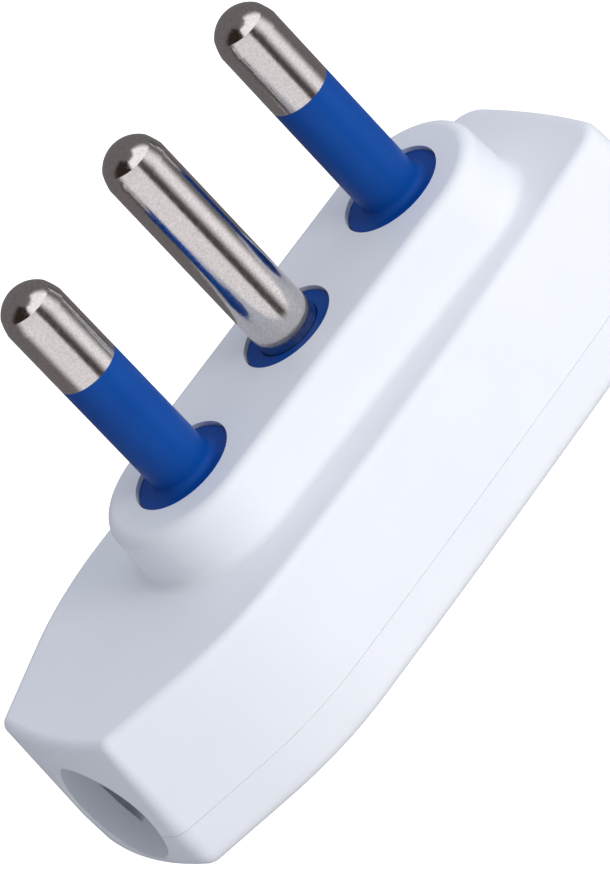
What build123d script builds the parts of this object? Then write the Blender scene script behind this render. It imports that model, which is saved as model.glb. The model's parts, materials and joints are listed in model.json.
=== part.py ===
from build123d import *
import os
from math import cos, radians, sin, tan

os.makedirs("parts", exist_ok=True)

# A flat round-pin mains plug with the cable leaving at one end, lying on its back.
# Origin: on the back face, straight under the middle pin.
# +Z runs along the pins, +X along the pin row away from the cable, +Y across it. Millimetres.

# Heights above the back face, and wall thicknesses
PIN_FACE_Z = 18.5
SHOULDER_Z = 13.35
SHOULDER_TILT = 0.85
CEILING_Z = 11.0
PARTING_Z = 4.2
WALL = 1.8
FLOOR = 1.8
SEAM_GROOVE = 0.08

# Plan of the body: crowned end at the cable, straight taper, long crowned flank, rounded far corner
END_CROWN_TURN = 12.5
TAPER_END = (-27.5, 9.85)
TAPER_ANGLE = 24.2
BEND_RADIUS = 24.5
FLANK_RUN = 40.4
FOOT_HEADING = 0.2
FOOT_TURN = 3.5
TOP_HEADING = 0.3
TOP_TURN = 10.0
CORNER_RADIUS = 2.8
FAR_END_TURN = 4.6
TOP_PLAN_Z = SHOULDER_Z + 1.0
COVER_DRAFT = 2.0

# Sloping end at the cable, and the cable hole through it
END_BACK_X = -35.55
END_SLOPE = 3.0
INNER_END_X = -33.0
CABLE_Z = 5.75
CABLE_R = 4.85
MOUTH_R = 5.3
MOUTH_DEPTH = 0.6
FLARE_REACH = 3.0
HOLE_START_X = -38.0
HOLE_END_X = -32.2

# Edge roundings of the mouldings
FOOT_CORNER_R = 1.7
TOP_CORNER_R = 0.9
HOLLOW_CORNER_R = 2.4
SHOULDER_EDGE_R = 0.8
BACK_EDGE_R = 1.5
BOSS_EDGE_R = 1.0
BOSS_FOOT_R = 0.8

# Faces whose normal rises more than this face upwards
UPWARD = 0.9

# Raised stadium that carries the pins
PITCH = 13.0
BOSS_R = 7.3
BOSS_DRAFT = 3.0
POCKET_R = 5.2
FACE_WALL = 2.0

# Pins, turned from bar, with a terminal head at the rear
PIN_R = 2.5
PIN_LENGTH = {"line": 19.15, "earth": 19.8, "neutral": 19.15}
ROOT_R = 2.8
RELIEF_R = 2.2
RELIEF_END_Z = 18.7
NECK_R = 2.0
NECK_START_Z = 16.0
SLEEVE_LENGTH = 10.9
DOME_HEIGHT = 2.3
CREASE_R = 2.15
CREASE_DROP = 1.15
DOME_LEAN = -0.2
HEAD_R = 3.7
HEAD_Z = 7.0
HEAD_TOP_Z = 10.5
TAPPING_R = 1.5
TAPPING_END_Z = 13.5

# Blue carrier that insulates and locates the pins
COLLAR_R = {"line": 4.0, "earth": 3.75, "neutral": 4.0}
COLLAR_SINK = 0.3
COLLAR_GAP = 0.12
SLEEVE_FOOT_R = 0.6
CARRIER_CLEARANCE = 0.1
CARRIER_PLATE_Z = 14.0
TOWER_R = 4.3
BARRIER_X = 6.5
BARRIER_HALF_WIDTH = 4.6
BARRIER_THICKNESS = 1.2
BARRIER_Z = 4.6
EARTH_ROOT_END_Z = 17.4

# Screws, all of the same thread, and the saddle plates under the terminal screws
SCREW_R = 1.45
SCREW_HEAD_R = 2.8
SCREW_SLOT = 0.8
SCREW_SLOT_DEPTH = 0.9
TERMINAL_HEAD_HEIGHT = 1.9
PLATE_SIDE = 6.4
PLATE_THICKNESS = 1.0
PLATE_HOLE_R = 1.7
TERMINAL_SCREW_END_Z = 12.8

# Screws that close the cover
COVER_SCREWS = {"far": (20.1, 0.0), "left": (-19.0, 6.4), "right": (-19.0, -6.4)}
PILLAR_R = 2.6
COVER_PILLAR_R = 3.6
COUNTERBORE_R = 3.0
COUNTERBORE_DEPTH = 2.2
COVER_SCREW_SINK = 0.3
COVER_SCREW_END_Z = 9.2
PILOT_END_Z = 9.8
CLEARANCE_R = 1.7

# Cord clamp just inside the cable hole
CLAMP_X = -25.5
CLAMP_SCREW_Y = 5.4
CLAMP_END_R = 2.1
CLAMP_POST_R = 2.1
CLAMP_SEAT_Z = 6.0
CLAMP_THICKNESS = 2.1
CLAMP_SADDLE_R = 7.0
CLAMP_SADDLE_DEPTH = 0.8
CLAMP_HEAD_HEIGHT = 1.6
GRIP_RIB = (0.8, 8.0, 0.8)
GRIP_RIB_X = 1.4

# Rails inside the cover that slide along the shell's flanks
RAIL_SPAN = (-14.0, 8.0)
RAIL_GAP = 0.2
RAIL_THICKNESS = 0.8
RAIL_HEIGHT = 1.2

PINS = {"line": -PITCH, "earth": 0.0, "neutral": PITCH}
SLEEVED = ("line", "neutral")
COLLAR_Z = PIN_FACE_Z - COLLAR_SINK
SLEEVE_END_Z = PIN_FACE_Z + SLEEVE_LENGTH
POCKET_Z = PIN_FACE_Z - FACE_WALL

shoulder_plane = Plane.XY.offset(SHOULDER_Z).rotated((0, SHOULDER_TILT, 0))
end_rise = tan(radians(END_SLOPE))
foot_end_x = END_BACK_X + PARTING_Z * end_rise
top_end_x = END_BACK_X + TOP_PLAN_Z * end_rise


def body_plan(heading, turn, end_x, end_corner_r):
    """Closed outline of the body's plan, drawn as one half and mirrored."""
    lean = radians(TAPER_ANGLE)
    crown = radians(END_CROWN_TURN)
    reach = TAPER_END[1] * cos(lean) - (TAPER_END[0] - end_x) * sin(lean)
    reach -= end_corner_r * (1 - sin(lean + crown))
    crown_radius = reach / (cos(lean) * sin(crown) - sin(lean) * (1 - cos(crown)))
    flank_radius = FLANK_RUN / (sin(radians(heading)) + sin(radians(turn - heading)))
    with BuildLine() as plan:
        cable_end = JernArc((end_x, 0), (0, 1), crown_radius, -END_CROWN_TURN)
        end_corner = JernArc(cable_end @ 1, cable_end % 1, end_corner_r, END_CROWN_TURN + TAPER_ANGLE - 90)
        taper = Line(end_corner @ 1, TAPER_END)
        bend = JernArc(taper @ 1, taper % 1, BEND_RADIUS, heading - TAPER_ANGLE)
        flank = JernArc(bend @ 1, bend % 1, flank_radius, -turn)
        corner_turn = 90 - FAR_END_TURN - (turn - heading)
        corner = JernArc(flank @ 1, flank % 1, CORNER_RADIUS, -corner_turn)
        end_radius = (corner @ 1).Y / sin(radians(FAR_END_TURN))
        JernArc(corner @ 1, corner % 1, end_radius, -FAR_END_TURN)
        mirror(about=Plane.XZ)
    return plan.edges()


def upright_disc(radius, x, y, low_z, high_z, mode=Mode.ADD):
    """Vertical round bar or hole between two heights."""
    with Locations((x, y, low_z)):
        Cylinder(radius, high_z - low_z, align=(Align.CENTER, Align.CENTER, Align.MIN), mode=mode)


def slotted_screw(x, y, head_low_z, head_height, end_z):
    """Cheese-head screw pointing up, with its slot in the low face of the head."""
    upright_disc(SCREW_HEAD_R, x, y, head_low_z, head_low_z + head_height)
    upright_disc(SCREW_R, x, y, head_low_z + head_height, end_z)
    with Locations((x, y, head_low_z)):
        Box(3 * SCREW_HEAD_R, SCREW_SLOT, 2 * SCREW_SLOT_DEPTH, mode=Mode.SUBTRACT)


def cable_hole():
    """Round hole through the end wall, with a flared mouth that follows its slope."""
    hole_length = HOLE_END_X - HOLE_START_X
    with Locations(Location((HOLE_START_X, 0, CABLE_Z), (0, 90, 0))):
        Cylinder(CABLE_R, hole_length, align=(Align.CENTER, Align.CENTER, Align.MIN), mode=Mode.SUBTRACT)
    mouth_x = END_BACK_X + CABLE_Z * end_rise
    flare_depth = FLARE_REACH * MOUTH_DEPTH
    flare_r = CABLE_R + FLARE_REACH * (MOUTH_R - CABLE_R)
    with Locations(Location((mouth_x + MOUTH_DEPTH, 0, CABLE_Z), (0, END_SLOPE - 90, 0))):
        on_base = (Align.CENTER, Align.CENTER, Align.MIN)
        Cone(CABLE_R, flare_r, flare_depth, align=on_base, mode=Mode.SUBTRACT)


# Front shell: the body in front of the parting line, with the stadium on it
with BuildPart() as front_shell:
    with BuildSketch(Plane.XY.offset(PARTING_Z)):
        make_face(body_plan(FOOT_HEADING, FOOT_TURN, foot_end_x, FOOT_CORNER_R))
    with BuildSketch(Plane.XY.offset(TOP_PLAN_Z)):
        make_face(body_plan(TOP_HEADING, TOP_TURN, top_end_x, TOP_CORNER_R))
    loft()
    split(bisect_by=shoulder_plane, keep=Keep.BOTTOM)
    shoulder = front_shell.faces().sort_by(Axis.Z)[-1]
    fillet(shoulder.edges(), radius=SHOULDER_EDGE_R)
    with BuildSketch(Plane.XY.offset(CEILING_Z)):
        SlotCenterToCenter(2 * PITCH, 2 * (BOSS_R + (SHOULDER_Z - CEILING_Z) * tan(radians(BOSS_DRAFT))))
    extrude(amount=PIN_FACE_Z - CEILING_Z, taper=BOSS_DRAFT)
    pin_face = front_shell.faces().sort_by(Axis.Z)[-1]
    fillet(pin_face.edges(), radius=BOSS_EDGE_R)
    shoulder = front_shell.faces().filter_by(lambda f: f.normal_at().Z > UPWARD).sort_by(Axis.Z)[0]
    boss_foot = shoulder.inner_wires()[0]
    fillet(boss_foot.edges(), radius=BOSS_FOOT_R)

    # Hollow for the wires, and a slot-shaped pocket for the carrier
    with BuildSketch(Plane.XY.offset(PARTING_Z)):
        make_face(body_plan(FOOT_HEADING, FOOT_TURN, INNER_END_X - WALL, HOLLOW_CORNER_R))
        offset(amount=-WALL)
    with BuildSketch(Plane.XY.offset(CEILING_Z)):
        make_face(body_plan(TOP_HEADING, TOP_TURN, INNER_END_X - WALL, HOLLOW_CORNER_R))
        offset(amount=-WALL)
    loft(mode=Mode.SUBTRACT)
    with BuildSketch(Plane.XY.offset(CEILING_Z)):
        SlotCenterToCenter(2 * PITCH, 2 * POCKET_R)
    extrude(amount=POCKET_Z - CEILING_Z, mode=Mode.SUBTRACT)
    for name, x in PINS.items():
        upright_disc(COLLAR_R[name] + COLLAR_GAP, x, 0, POCKET_Z, PIN_FACE_Z, Mode.SUBTRACT)

    # Pillars for the cover screws and posts for the cord clamp
    for x, y in COVER_SCREWS.values():
        upright_disc(PILLAR_R, x, y, PARTING_Z, CEILING_Z)
    for side in (-1, 1):
        upright_disc(CLAMP_POST_R, CLAMP_X, side * CLAMP_SCREW_Y, CLAMP_SEAT_Z, CEILING_Z)
    for side in (-1, 1):
        with Locations((CLAMP_X + side * GRIP_RIB_X, 0, CEILING_Z)):
            Box(*GRIP_RIB, align=(Align.CENTER, Align.CENTER, Align.MAX))
    for x, y in COVER_SCREWS.values():
        upright_disc(TAPPING_R, x, y, PARTING_Z, PILOT_END_Z, Mode.SUBTRACT)
    for side in (-1, 1):
        upright_disc(TAPPING_R, CLAMP_X, side * CLAMP_SCREW_Y, CLAMP_SEAT_Z, PILOT_END_Z, Mode.SUBTRACT)
    cable_hole()

# Back cover: the flat plate behind the parting line, with a fine groove along the joint
joint_z = PARTING_Z - SEAM_GROOVE
with BuildPart() as back_cover:
    with BuildSketch(Plane.XY.offset(joint_z)) as joint_plan:
        make_face(body_plan(FOOT_HEADING, FOOT_TURN, foot_end_x, FOOT_CORNER_R))
    extrude(amount=-joint_z, taper=COVER_DRAFT)
    back_face = back_cover.faces().sort_by(Axis.Z)[0]
    fillet(back_face.edges(), radius=BACK_EDGE_R)
    with BuildSketch(Plane.XY.offset(joint_z)):
        offset(joint_plan.face(), amount=-SEAM_GROOVE)
    extrude(amount=SEAM_GROOVE)
    with BuildSketch(Plane.XY.offset(FLOOR)):
        make_face(body_plan(FOOT_HEADING, FOOT_TURN, INNER_END_X - WALL, HOLLOW_CORNER_R))
        offset(amount=-WALL)
    extrude(amount=PARTING_Z - FLOOR, mode=Mode.SUBTRACT)

    # Rails that slide inside the shell's flanks and keep the two mouldings in line
    with BuildSketch(Plane.XY.offset(FLOOR)):
        outline = body_plan(FOOT_HEADING, FOOT_TURN, INNER_END_X - WALL, HOLLOW_CORNER_R)
        plan = make_face(outline, mode=Mode.PRIVATE)
        offset(plan, amount=-(WALL + RAIL_GAP))
        offset(plan, amount=-(WALL + RAIL_GAP + RAIL_THICKNESS), mode=Mode.SUBTRACT)
        with Locations(((RAIL_SPAN[0] + RAIL_SPAN[1]) / 2, 0)):
            Rectangle(RAIL_SPAN[1] - RAIL_SPAN[0], 3 * PITCH, mode=Mode.INTERSECT)
    extrude(amount=PARTING_Z + RAIL_HEIGHT - FLOOR)

    # Two ribs hold the carrier down, and each screw has a pillar with a sunk head
    with Locations((-BARRIER_X, 0, FLOOR), (BARRIER_X, 0, FLOOR)):
        Box(BARRIER_THICKNESS, 2 * BARRIER_HALF_WIDTH, BARRIER_Z - FLOOR,
            align=(Align.CENTER, Align.CENTER, Align.MIN))
    for x, y in COVER_SCREWS.values():
        upright_disc(COVER_PILLAR_R, x, y, FLOOR, PARTING_Z)
    for x, y in COVER_SCREWS.values():
        upright_disc(COUNTERBORE_R, x, y, 0, COUNTERBORE_DEPTH, Mode.SUBTRACT)
        upright_disc(CLEARANCE_R, x, y, 0, PARTING_Z, Mode.SUBTRACT)
    cable_hole()

# Blue carrier: slot-shaped plate, three collars and towers, two sleeves and two barriers
with BuildPart() as pin_carrier:
    with BuildSketch(Plane.XY.offset(CARRIER_PLATE_Z)):
        SlotCenterToCenter(2 * PITCH, 2 * (POCKET_R - CARRIER_CLEARANCE))
    extrude(amount=POCKET_Z - CARRIER_PLATE_Z)
    with Locations((-BARRIER_X, 0, BARRIER_Z), (BARRIER_X, 0, BARRIER_Z)):
        Box(BARRIER_THICKNESS, 2 * BARRIER_HALF_WIDTH, CARRIER_PLATE_Z - BARRIER_Z,
            align=(Align.CENTER, Align.CENTER, Align.MIN))
    for name, x in PINS.items():
        upright_disc(TOWER_R, x, 0, HEAD_TOP_Z, CARRIER_PLATE_Z)
        upright_disc(COLLAR_R[name], x, 0, POCKET_Z, COLLAR_Z)
    for name in SLEEVED:
        upright_disc(PIN_R, PINS[name], 0, COLLAR_Z, SLEEVE_END_Z)
    rings = pin_carrier.edges().filter_by(GeomType.CIRCLE)
    collar_rings = rings.filter_by_position(Axis.Z, COLLAR_Z, COLLAR_Z)
    fillet(collar_rings.sort_by(SortBy.RADIUS)[:len(SLEEVED)], radius=SLEEVE_FOOT_R)
    for name in SLEEVED:
        upright_disc(ROOT_R, PINS[name], 0, HEAD_TOP_Z, NECK_START_Z, Mode.SUBTRACT)
        upright_disc(NECK_R, PINS[name], 0, NECK_START_Z, SLEEVE_END_Z, Mode.SUBTRACT)
    upright_disc(ROOT_R, PINS["earth"], 0, HEAD_TOP_Z, COLLAR_Z, Mode.SUBTRACT)

# Cord clamp: a bar across the cable with a shallow saddle, on two posts of the shell
with BuildPart() as cord_clamp:
    with BuildSketch(Plane.XY.offset(CLAMP_SEAT_Z - CLAMP_THICKNESS)):
        with Locations((CLAMP_X, 0)):
            SlotCenterToCenter(2 * CLAMP_SCREW_Y, 2 * CLAMP_END_R, rotation=90)
    extrude(amount=CLAMP_THICKNESS)
    saddle_z = CLAMP_SEAT_Z - CLAMP_SADDLE_DEPTH + CLAMP_SADDLE_R
    with Locations(Location((CLAMP_X, 0, saddle_z), (0, 90, 0))):
        Cylinder(CLAMP_SADDLE_R, 4 * CLAMP_END_R, mode=Mode.SUBTRACT)
    for side in (-1, 1):
        low_z = CLAMP_SEAT_Z - CLAMP_THICKNESS
        upright_disc(CLEARANCE_R, CLAMP_X, side * CLAMP_SCREW_Y, low_z, CLAMP_SEAT_Z, Mode.SUBTRACT)

for moulding, label in (
    (front_shell, "front_shell"),
    (back_cover, "back_cover"),
    (pin_carrier, "pin_carrier"),
    (cord_clamp, "cord_clamp"),
):
    moulding.part.label = label
    export_step(moulding.part, f"parts/{label}.step")

# Turned pins: the two live ones are necked under their sleeves, the earth pin is bare
for name, x in PINS.items():
    tip_z = PIN_FACE_Z + PIN_LENGTH[name]
    dome_z = tip_z - DOME_HEIGHT
    crease = (CREASE_R, tip_z - CREASE_DROP)
    if name in SLEEVED:
        root_end_z, neck_r, neck_end_z = NECK_START_Z, NECK_R, SLEEVE_END_Z
    else:
        root_end_z, neck_r, neck_end_z = EARTH_ROOT_END_Z, RELIEF_R, RELIEF_END_Z
    shank = [(0, HEAD_Z), (HEAD_R, HEAD_Z), (HEAD_R, HEAD_TOP_Z), (ROOT_R, HEAD_TOP_Z)]
    shank += [(ROOT_R, root_end_z), (neck_r, root_end_z), (neck_r, neck_end_z)]
    shank += [(PIN_R, neck_end_z), (PIN_R, dome_z)]
    with BuildPart() as pin:
        with BuildSketch(Plane(origin=(x, 0, 0), x_dir=(1, 0, 0), z_dir=(0, -1, 0))):
            with BuildLine():
                Polyline(*shank)
                TangentArc((PIN_R, dome_z), crease, tangent=(DOME_LEAN, 1))
                TangentArc((0, tip_z), crease, tangent=(1, 0))
                Line((0, tip_z), (0, HEAD_Z))
            make_face()
        revolve(axis=Axis((x, 0, 0), (0, 0, 1)))
        upright_disc(TAPPING_R, x, 0, HEAD_Z, TAPPING_END_Z, Mode.SUBTRACT)
    pin.part.label = f"{name}_pin"
    export_step(pin.part, f"parts/{name}_pin.step")

# Saddle plate and screw at the rear of each pin
for name, x in PINS.items():
    with BuildPart() as saddle_plate:
        with BuildSketch(Plane.XY.offset(HEAD_Z - PLATE_THICKNESS)):
            with Locations((x, 0)):
                RectangleRounded(PLATE_SIDE, PLATE_SIDE, PLATE_THICKNESS)
                Circle(PLATE_HOLE_R, mode=Mode.SUBTRACT)
        extrude(amount=PLATE_THICKNESS)
    saddle_plate.part.label = f"{name}_saddle_plate"
    export_step(saddle_plate.part, f"parts/{name}_saddle_plate.step")
    with BuildPart() as terminal_screw:
        head_low_z = HEAD_Z - PLATE_THICKNESS - TERMINAL_HEAD_HEIGHT
        slotted_screw(x, 0, head_low_z, TERMINAL_HEAD_HEIGHT, TERMINAL_SCREW_END_Z)
    terminal_screw.part.label = f"{name}_terminal_screw"
    export_step(terminal_screw.part, f"parts/{name}_terminal_screw.step")

# Screws of the cord clamp
for name, side in (("left", 1), ("right", -1)):
    with BuildPart() as clamp_screw:
        head_low_z = CLAMP_SEAT_Z - CLAMP_THICKNESS - CLAMP_HEAD_HEIGHT
        slotted_screw(CLAMP_X, side * CLAMP_SCREW_Y, head_low_z, CLAMP_HEAD_HEIGHT, COVER_SCREW_END_Z)
    clamp_screw.part.label = f"{name}_clamp_screw"
    export_step(clamp_screw.part, f"parts/{name}_clamp_screw.step")

# Screws that close the cover
for name, (x, y) in COVER_SCREWS.items():
    with BuildPart() as cover_screw:
        head_height = COUNTERBORE_DEPTH - COVER_SCREW_SINK
        slotted_screw(x, y, COVER_SCREW_SINK, head_height, COVER_SCREW_END_Z)
    cover_screw.part.label = f"{name}_cover_screw"
    export_step(cover_screw.part, f"parts/{name}_cover_screw.step")
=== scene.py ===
import json
from math import cos, pi, radians, sin

import bpy
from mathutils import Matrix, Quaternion, Vector


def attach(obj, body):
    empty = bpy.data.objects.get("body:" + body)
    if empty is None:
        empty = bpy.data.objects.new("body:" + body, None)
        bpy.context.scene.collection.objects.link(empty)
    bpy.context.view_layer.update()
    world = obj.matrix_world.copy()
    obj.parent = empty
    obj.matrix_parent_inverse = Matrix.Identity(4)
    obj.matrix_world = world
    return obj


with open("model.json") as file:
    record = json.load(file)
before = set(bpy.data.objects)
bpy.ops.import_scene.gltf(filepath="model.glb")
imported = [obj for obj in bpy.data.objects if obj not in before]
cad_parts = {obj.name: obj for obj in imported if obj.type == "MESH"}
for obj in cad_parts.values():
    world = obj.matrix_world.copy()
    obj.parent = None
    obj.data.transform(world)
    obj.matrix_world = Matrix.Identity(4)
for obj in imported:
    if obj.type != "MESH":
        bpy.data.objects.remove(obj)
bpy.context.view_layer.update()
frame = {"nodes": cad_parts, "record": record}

# A flat round-pin mains plug. The frame's +Z runs along the pins, +X away from the cable end. Metres.
MM = 0.001

# Sockets of a Mix node that is set to colour, which share their names with those for numbers
MIX_FACTOR = 0
MIX_FIRST = 6
MIX_SECOND = 7
MIX_RESULT = 2
WHITE = (1, 1, 1, 1)

# Viewing angle and framing, solved from the outlines of the three pins. Angles in degrees
VIEW_AZIMUTH = 19.31
VIEW_ELEVATION = 28.37
VIEW_ROLL = -43.57
VIEW_DISTANCE = 699 * MM
VIEW_CENTRE = Vector((-5.28, -1.50, 12.64)) * MM
SENSOR_MM = 36.0
LENS_MM = 402.2
CLIP_NEAR = 0.01
CLIP_FAR = 20

# Soft light all round: its colour, its level, and how much more of it comes from +X
ROOM_TINT = (0.90, 0.94, 1.06)
ROOM_LEVEL = 0.67
ROOM_SLANT = 0.47

# Square soft lamp, to the right of the camera
KEY_POWER = 1.55
KEY_COLOUR = (1.0, 0.975, 0.91)
KEY_SIZE = 260 * MM
KEY_DISTANCE = 600 * MM
KEY_SIDE = 35.0
KEY_HEIGHT = 14.0

# What the metal mirrors, in degrees from the camera's side: left edge and its softness, right edge and its
# softness, lowest and highest height, and how much of the patches' colour it adds to the ambient colour
MIRROR_AMBIENT = (0.180, 0.168, 0.172)
PATCH_COLOUR = (1.0, 0.99, 1.05)
PATCH_END_SOFTNESS = 4
MIRRORED_PATCHES = (
    (-70, 16, 7, 5, -80, 18, 0.76),
    (40, 14, 82, 16, -80, 18, 0.88),
    (10, 3, 30, 8, -80, 18, -0.10),
    (-18, 5, 104, 14, 25, 68, 1.05),
    (-100, 14, -20, 5, 25, 74, -0.15),
)

# Floor: side, colour, and the glow that makes it show white
FLOOR_SIDE = 6.0
FLOOR_COLOUR = (0.85, 0.85, 0.85, 1)
FLOOR_GLOW = 1.6
FLOOR_GLOW_SHARE = 0.7

# Foot of the earth pin: a metal ring closes the neck, and a blue lip closes the collar round it
RING_SIDES = 160
SHARP_EDGE = 30
PIN_FOOT = {"inner": 2.1 * MM, "outer": 2.5 * MM, "low": 17.45 * MM, "high": 18.7 * MM}
COLLAR_LIP = {"inner": 2.56 * MM, "outer": 2.83 * MM, "low": 17.45 * MM, "high": 18.195 * MM}

# Noises of the materials: features in a metre, and levels of detail
CLOUDS = (160, 3)
MOULD_GRAIN = (3800, 2)
FLOW_WAVES = (220, 1)
SPECKLE = (5600, 3)
DRAWN_GRAIN = (5200, 2)
NOISE_LOW = 0.3
NOISE_HIGH = 0.7
WAVE_SHARE = 2.5
PLASTIC_IOR = 1.5
PLAIN_GLOSS = 0.5
NO_STRETCH = (1, 1, 1)
ALONG_PIN = (1, 1, 0.35)


def direction(azimuth, elevation):
    """Unit vector from the object towards a place round it; azimuth 0 is in front, at -Y."""
    turn = Quaternion((0, 0, 1), radians(azimuth)) @ Quaternion((1, 0, 0), -radians(elevation))
    return turn @ Vector((0, -1, 0))


def link(tree, source, target):
    """Joins two sockets."""
    tree.links.new(source, target)


def math_node(tree, operation, *values):
    """One Math node; each value is a number or a socket."""
    node = tree.nodes.new("ShaderNodeMath")
    node.operation = operation
    for socket, value in zip(node.inputs, values):
        if isinstance(value, (int, float)):
            socket.default_value = value
        else:
            link(tree, value, socket)
    return node.outputs[0]


def vector_node(tree, operation):
    """One Vector Math node."""
    node = tree.nodes.new("ShaderNodeVectorMath")
    node.operation = operation
    return node


def axes_of(tree, vector):
    """The three parts of a vector."""
    node = tree.nodes.new("ShaderNodeSeparateXYZ")
    link(tree, vector, node.inputs["Vector"])
    return node.outputs


def mix_colours(tree, factor, first, second):
    """Colour between two by a factor; each is a fixed colour or a socket."""
    node = tree.nodes.new("ShaderNodeMix")
    node.data_type = "RGBA"
    link(tree, factor, node.inputs[MIX_FACTOR])
    for place, colour in ((MIX_FIRST, first), (MIX_SECOND, second)):
        if isinstance(colour, tuple):
            node.inputs[place].default_value = colour
        else:
            link(tree, colour, node.inputs[place])
    return node.outputs[MIX_RESULT]


def ramp_between(tree, value, start, end):
    """Smooth step from 0 at start to 1 at end."""
    node = tree.nodes.new("ShaderNodeMapRange")
    node.interpolation_type = "SMOOTHSTEP"
    link(tree, value, node.inputs["Value"])
    node.inputs["From Min"].default_value = start
    node.inputs["From Max"].default_value = end
    return node.outputs["Result"]


def band(tree, value, low, low_edge, high, high_edge):
    """1 between low and high and 0 outside; each edge is as soft as its own width. Degrees."""
    rise = ramp_between(tree, value, radians(low - low_edge), radians(low + low_edge))
    fall = ramp_between(tree, value, radians(high + high_edge), radians(high - high_edge))
    return math_node(tree, "MULTIPLY", rise, fall)


def noise(tree, scale, detail, stretch=NO_STRETCH):
    """Noise in the object's own metres; scale is the number of features in a metre."""
    place = tree.nodes.new("ShaderNodeTexCoord")
    mapping = tree.nodes.new("ShaderNodeMapping")
    texture = tree.nodes.new("ShaderNodeTexNoise")
    mapping.inputs["Scale"].default_value = stretch
    texture.inputs["Scale"].default_value = scale
    texture.inputs["Detail"].default_value = detail
    link(tree, place.outputs["Object"], mapping.inputs["Vector"])
    link(tree, mapping.outputs["Vector"], texture.inputs["Vector"])
    return texture.outputs["Fac"]


def spread(tree, value, low, high):
    """A noise value spread between two numbers."""
    node = tree.nodes.new("ShaderNodeMapRange")
    link(tree, value, node.inputs["Value"])
    node.inputs["From Min"].default_value = NOISE_LOW
    node.inputs["From Max"].default_value = NOISE_HIGH
    node.inputs["To Min"].default_value = low
    node.inputs["To Max"].default_value = high
    return node.outputs["Result"]


def bump(tree, shader, height, depth):
    """Fine relief of the surface."""
    node = tree.nodes.new("ShaderNodeBump")
    node.inputs["Strength"].default_value = 1.0
    node.inputs["Distance"].default_value = depth
    link(tree, height, node.inputs["Height"])
    link(tree, node.outputs["Normal"], shader.inputs["Normal"])


def new_material(name):
    """Empty material: (material, node tree)."""
    material = bpy.data.materials.new(name)
    material.use_nodes = True
    return material, material.node_tree


def moulded_plastic(name, dark, light, roughness, relief, gloss=PLAIN_GLOSS):
    """Satin moulding: faint clouding in the colour, a fine spark-eroded grain and slight flow waves."""
    material, tree = new_material(name)
    shader = tree.nodes["Principled BSDF"]
    clouds = noise(tree, *CLOUDS)
    grain = noise(tree, *MOULD_GRAIN)
    waves = noise(tree, *FLOW_WAVES)
    link(tree, mix_colours(tree, clouds, (*dark, 1), (*light, 1)), shader.inputs["Base Color"])
    link(tree, spread(tree, grain, *roughness), shader.inputs["Roughness"])
    bump(tree, shader, math_node(tree, "MULTIPLY_ADD", waves, WAVE_SHARE, grain), relief)
    shader.inputs["IOR"].default_value = PLASTIC_IOR
    shader.inputs["Specular IOR Level"].default_value = gloss
    return material


def plated_metal(name, dark, light, roughness, relief, stretch=NO_STRETCH):
    """Plated metal with a fine drawn grain and a sandy speckle in the plating."""
    material, tree = new_material(name)
    shader = tree.nodes["Principled BSDF"]
    speckle = noise(tree, *SPECKLE)
    drawn = noise(tree, *DRAWN_GRAIN, stretch)
    link(tree, mix_colours(tree, speckle, (*dark, 1), (*light, 1)), shader.inputs["Base Color"])
    link(tree, spread(tree, drawn, *roughness), shader.inputs["Roughness"])
    bump(tree, shader, drawn, relief)
    shader.inputs["Metallic"].default_value = 1.0
    return material


# Darkest and lightest colour, range of roughness, depth of the relief, and then gloss or stretch
FINISHES = {
    "white_plastic": moulded_plastic(
        "white_plastic", (0.86, 0.875, 0.905), (0.90, 0.915, 0.945), (0.34, 0.46), 0.004 * MM),
    "blue_plastic": moulded_plastic(
        "blue_plastic", (0.001, 0.054, 0.285), (0.002, 0.072, 0.355), (0.34, 0.46), 0.006 * MM, 0.16),
    "clamp_plastic": moulded_plastic(
        "clamp_plastic", (0.76, 0.77, 0.79), (0.82, 0.83, 0.85), (0.45, 0.58), 0.006 * MM),
    "nickel_plate": plated_metal(
        "nickel_plate", (0.47, 0.445, 0.425), (0.89, 0.85, 0.815), (0.10, 0.20), 0.0026 * MM, ALONG_PIN),
    "brass_plate": plated_metal(
        "brass_plate", (0.65, 0.49, 0.24), (0.85, 0.68, 0.39), (0.22, 0.34), 0.002 * MM),
    "zinc_screw": plated_metal(
        "zinc_screw", (0.54, 0.55, 0.56), (0.74, 0.74, 0.73), (0.20, 0.34), 0.002 * MM),
}


def dress_nodes():
    """Gives every solid the finish of its slot in the record."""
    for part in frame["record"]["subparts"]:
        solid = frame["nodes"][part["node"]]
        for place in solid.material_slots:
            place.material = FINISHES[part["material_slot"]]


def upright_ring(name, slot, inner, outer, low, high):
    """Closed ring round the middle pin's axis, which is the frame's Z."""
    section = [(outer, low), (outer, high), (inner, high), (inner, low)]
    corners = len(section)
    points = []
    faces = []
    for side in range(RING_SIDES):
        turn = 2 * pi * side / RING_SIDES
        points += [(reach * cos(turn), reach * sin(turn), height) for reach, height in section]
        here = side * corners
        there = (side + 1) % RING_SIDES * corners
        for corner in range(corners):
            after = (corner + 1) % corners
            faces.append((here + corner, there + corner, there + after, here + after))
    mesh = bpy.data.meshes.new(name)
    mesh.from_pydata(points, [], faces)
    mesh.shade_smooth()
    mesh.set_sharp_from_angle(angle=radians(SHARP_EDGE))
    mesh.materials.append(FINISHES[slot])
    ring = bpy.data.objects.new(name, mesh)
    bpy.context.collection.objects.link(ring)
    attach(ring, "root")


def ray_kinds(tree):
    """1 for rays straight from the camera or through glass, and 1 for mirrored rays."""
    path = tree.nodes.new("ShaderNodeLightPath")
    seen = math_node(tree, "MAXIMUM", path.outputs["Is Camera Ray"], path.outputs["Is Transmission Ray"])
    return seen, path.outputs["Is Glossy Ray"]


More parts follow.
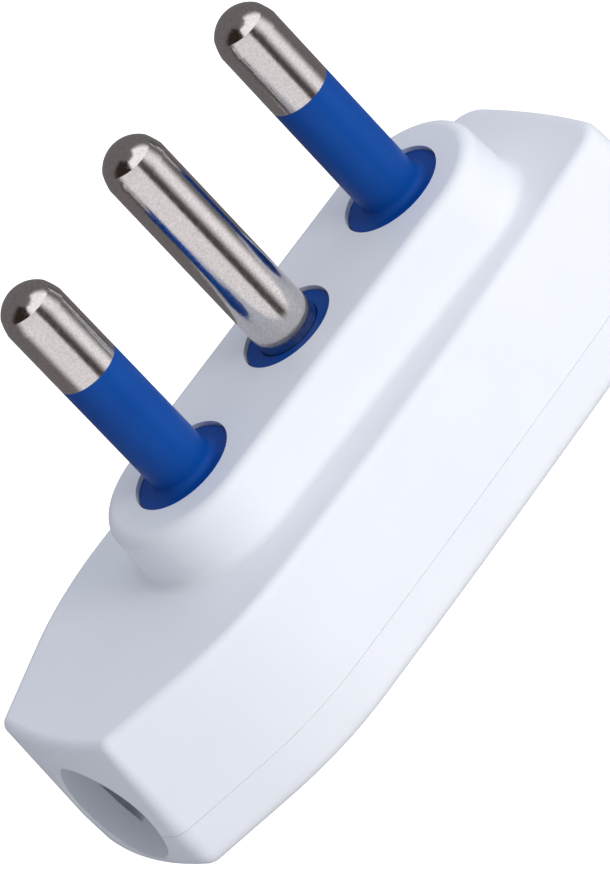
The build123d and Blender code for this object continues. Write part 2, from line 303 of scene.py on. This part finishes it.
def mirrored_light(tree, place):
    """What the metal mirrors: two wide soft boxes with a dark gap, and two patches above them."""
    turned = tree.nodes.new("ShaderNodeVectorRotate")
    turned.rotation_type = "Z_AXIS"
    turned.inputs["Angle"].default_value = radians(90 + VIEW_AZIMUTH)
    link(tree, place, turned.inputs["Vector"])
    axes = axes_of(tree, turned.outputs["Vector"])
    side = math_node(tree, "ARCTAN2", axes["Y"], axes["X"])
    height = math_node(tree, "ARCSINE", axes["Z"])
    patches = 0.0
    for left, left_edge, right, right_edge, low, high, level in MIRRORED_PATCHES:
        across = band(tree, side, left, left_edge, right, right_edge)
        along = band(tree, height, low, PATCH_END_SOFTNESS, high, PATCH_END_SOFTNESS)
        patch = math_node(tree, "MULTIPLY", across, along)
        patches = math_node(tree, "MULTIPLY_ADD", patch, level, patches)
    mirrored = vector_node(tree, "MULTIPLY_ADD")
    link(tree, patches, mirrored.inputs[0])
    mirrored.inputs[1].default_value = PATCH_COLOUR
    mirrored.inputs[2].default_value = MIRROR_AMBIENT
    return mirrored.outputs[0]


def room_light(tree, place):
    """Soft cool light all round, which grows towards +X."""
    level = math_node(tree, "MULTIPLY_ADD", axes_of(tree, place)["X"], ROOM_SLANT * ROOM_LEVEL, ROOM_LEVEL)
    diffuse = vector_node(tree, "SCALE")
    diffuse.inputs[0].default_value = ROOM_TINT
    link(tree, level, diffuse.inputs["Scale"])
    return diffuse.outputs[0]


def make_room():
    """White behind the object, and light that differs for plain and for mirrored rays."""
    world = bpy.data.worlds.new("room")
    bpy.context.scene.world = world
    world.use_nodes = True
    tree = world.node_tree
    place = tree.nodes.new("ShaderNodeTexCoord").outputs["Generated"]
    seen, glossy = ray_kinds(tree)
    light = mix_colours(tree, glossy, room_light(tree, place), mirrored_light(tree, place))
    link(tree, mix_colours(tree, seen, light, WHITE), tree.nodes["Background"].inputs["Color"])


def make_floor():
    """Plain pale floor that shows white and keeps a light shadow."""
    mesh = bpy.data.meshes.new("floor")
    half = FLOOR_SIDE / 2
    corners = [(-half, -half, 0), (half, -half, 0), (half, half, 0), (-half, half, 0)]
    mesh.from_pydata(corners, [], [(0, 1, 2, 3)])
    floor = bpy.data.objects.new("floor", mesh)
    bpy.context.collection.objects.link(floor)
    material, tree = new_material("floor")
    tree.nodes.clear()
    paint = tree.nodes.new("ShaderNodeBsdfDiffuse")
    paint.inputs["Color"].default_value = FLOOR_COLOUR
    glow = tree.nodes.new("ShaderNodeEmission")
    glow.inputs["Strength"].default_value = FLOOR_GLOW
    blend = tree.nodes.new("ShaderNodeMixShader")
    result = tree.nodes.new("ShaderNodeOutputMaterial")
    seen, _ = ray_kinds(tree)
    link(tree, math_node(tree, "MULTIPLY", seen, FLOOR_GLOW_SHARE), blend.inputs[0])
    link(tree, paint.outputs[0], blend.inputs[1])
    link(tree, glow.outputs[0], blend.inputs[2])
    link(tree, blend.outputs[0], result.inputs["Surface"])
    mesh.materials.append(material)
    floor.visible_glossy = False


def make_lamp():
    """Square soft lamp that points at the object and doesn't show in the metal."""
    data = bpy.data.lights.new("key", "AREA")
    data.shape = "SQUARE"
    data.size = KEY_SIZE
    data.energy = KEY_POWER
    data.color = KEY_COLOUR
    lamp = bpy.data.objects.new("key", data)
    towards = direction(KEY_SIDE - VIEW_AZIMUTH, KEY_HEIGHT)
    lamp.location = VIEW_CENTRE + towards * KEY_DISTANCE
    lamp.rotation_mode = "QUATERNION"
    lamp.rotation_quaternion = towards.to_track_quat("Z", "Y")
    lamp.visible_camera = False
    lamp.visible_glossy = False
    bpy.context.collection.objects.link(lamp)


def make_camera():
    """Camera at the picture's viewing angle; the plug lies across the frame."""
    data = bpy.data.cameras.new("camera")
    data.sensor_width = SENSOR_MM
    data.lens = LENS_MM
    data.clip_start = CLIP_NEAR
    data.clip_end = CLIP_FAR
    camera = bpy.data.objects.new("camera", data)
    back = direction(-VIEW_AZIMUTH, VIEW_ELEVATION)
    camera.location = VIEW_CENTRE + back * VIEW_DISTANCE
    camera.rotation_mode = "QUATERNION"
    upright = back.to_track_quat("Z", "Y")
    camera.rotation_quaternion = upright @ Quaternion((0, 0, 1), radians(VIEW_ROLL))
    bpy.context.collection.objects.link(camera)
    bpy.context.scene.camera = camera


dress_nodes()
upright_ring("earth_pin_foot", "nickel_plate", **PIN_FOOT)
upright_ring("earth_collar_lip", "blue_plastic", **COLLAR_LIP)
make_room()
make_floor()
make_lamp()
make_camera()
bpy.context.scene.view_settings.view_transform = "Standard"
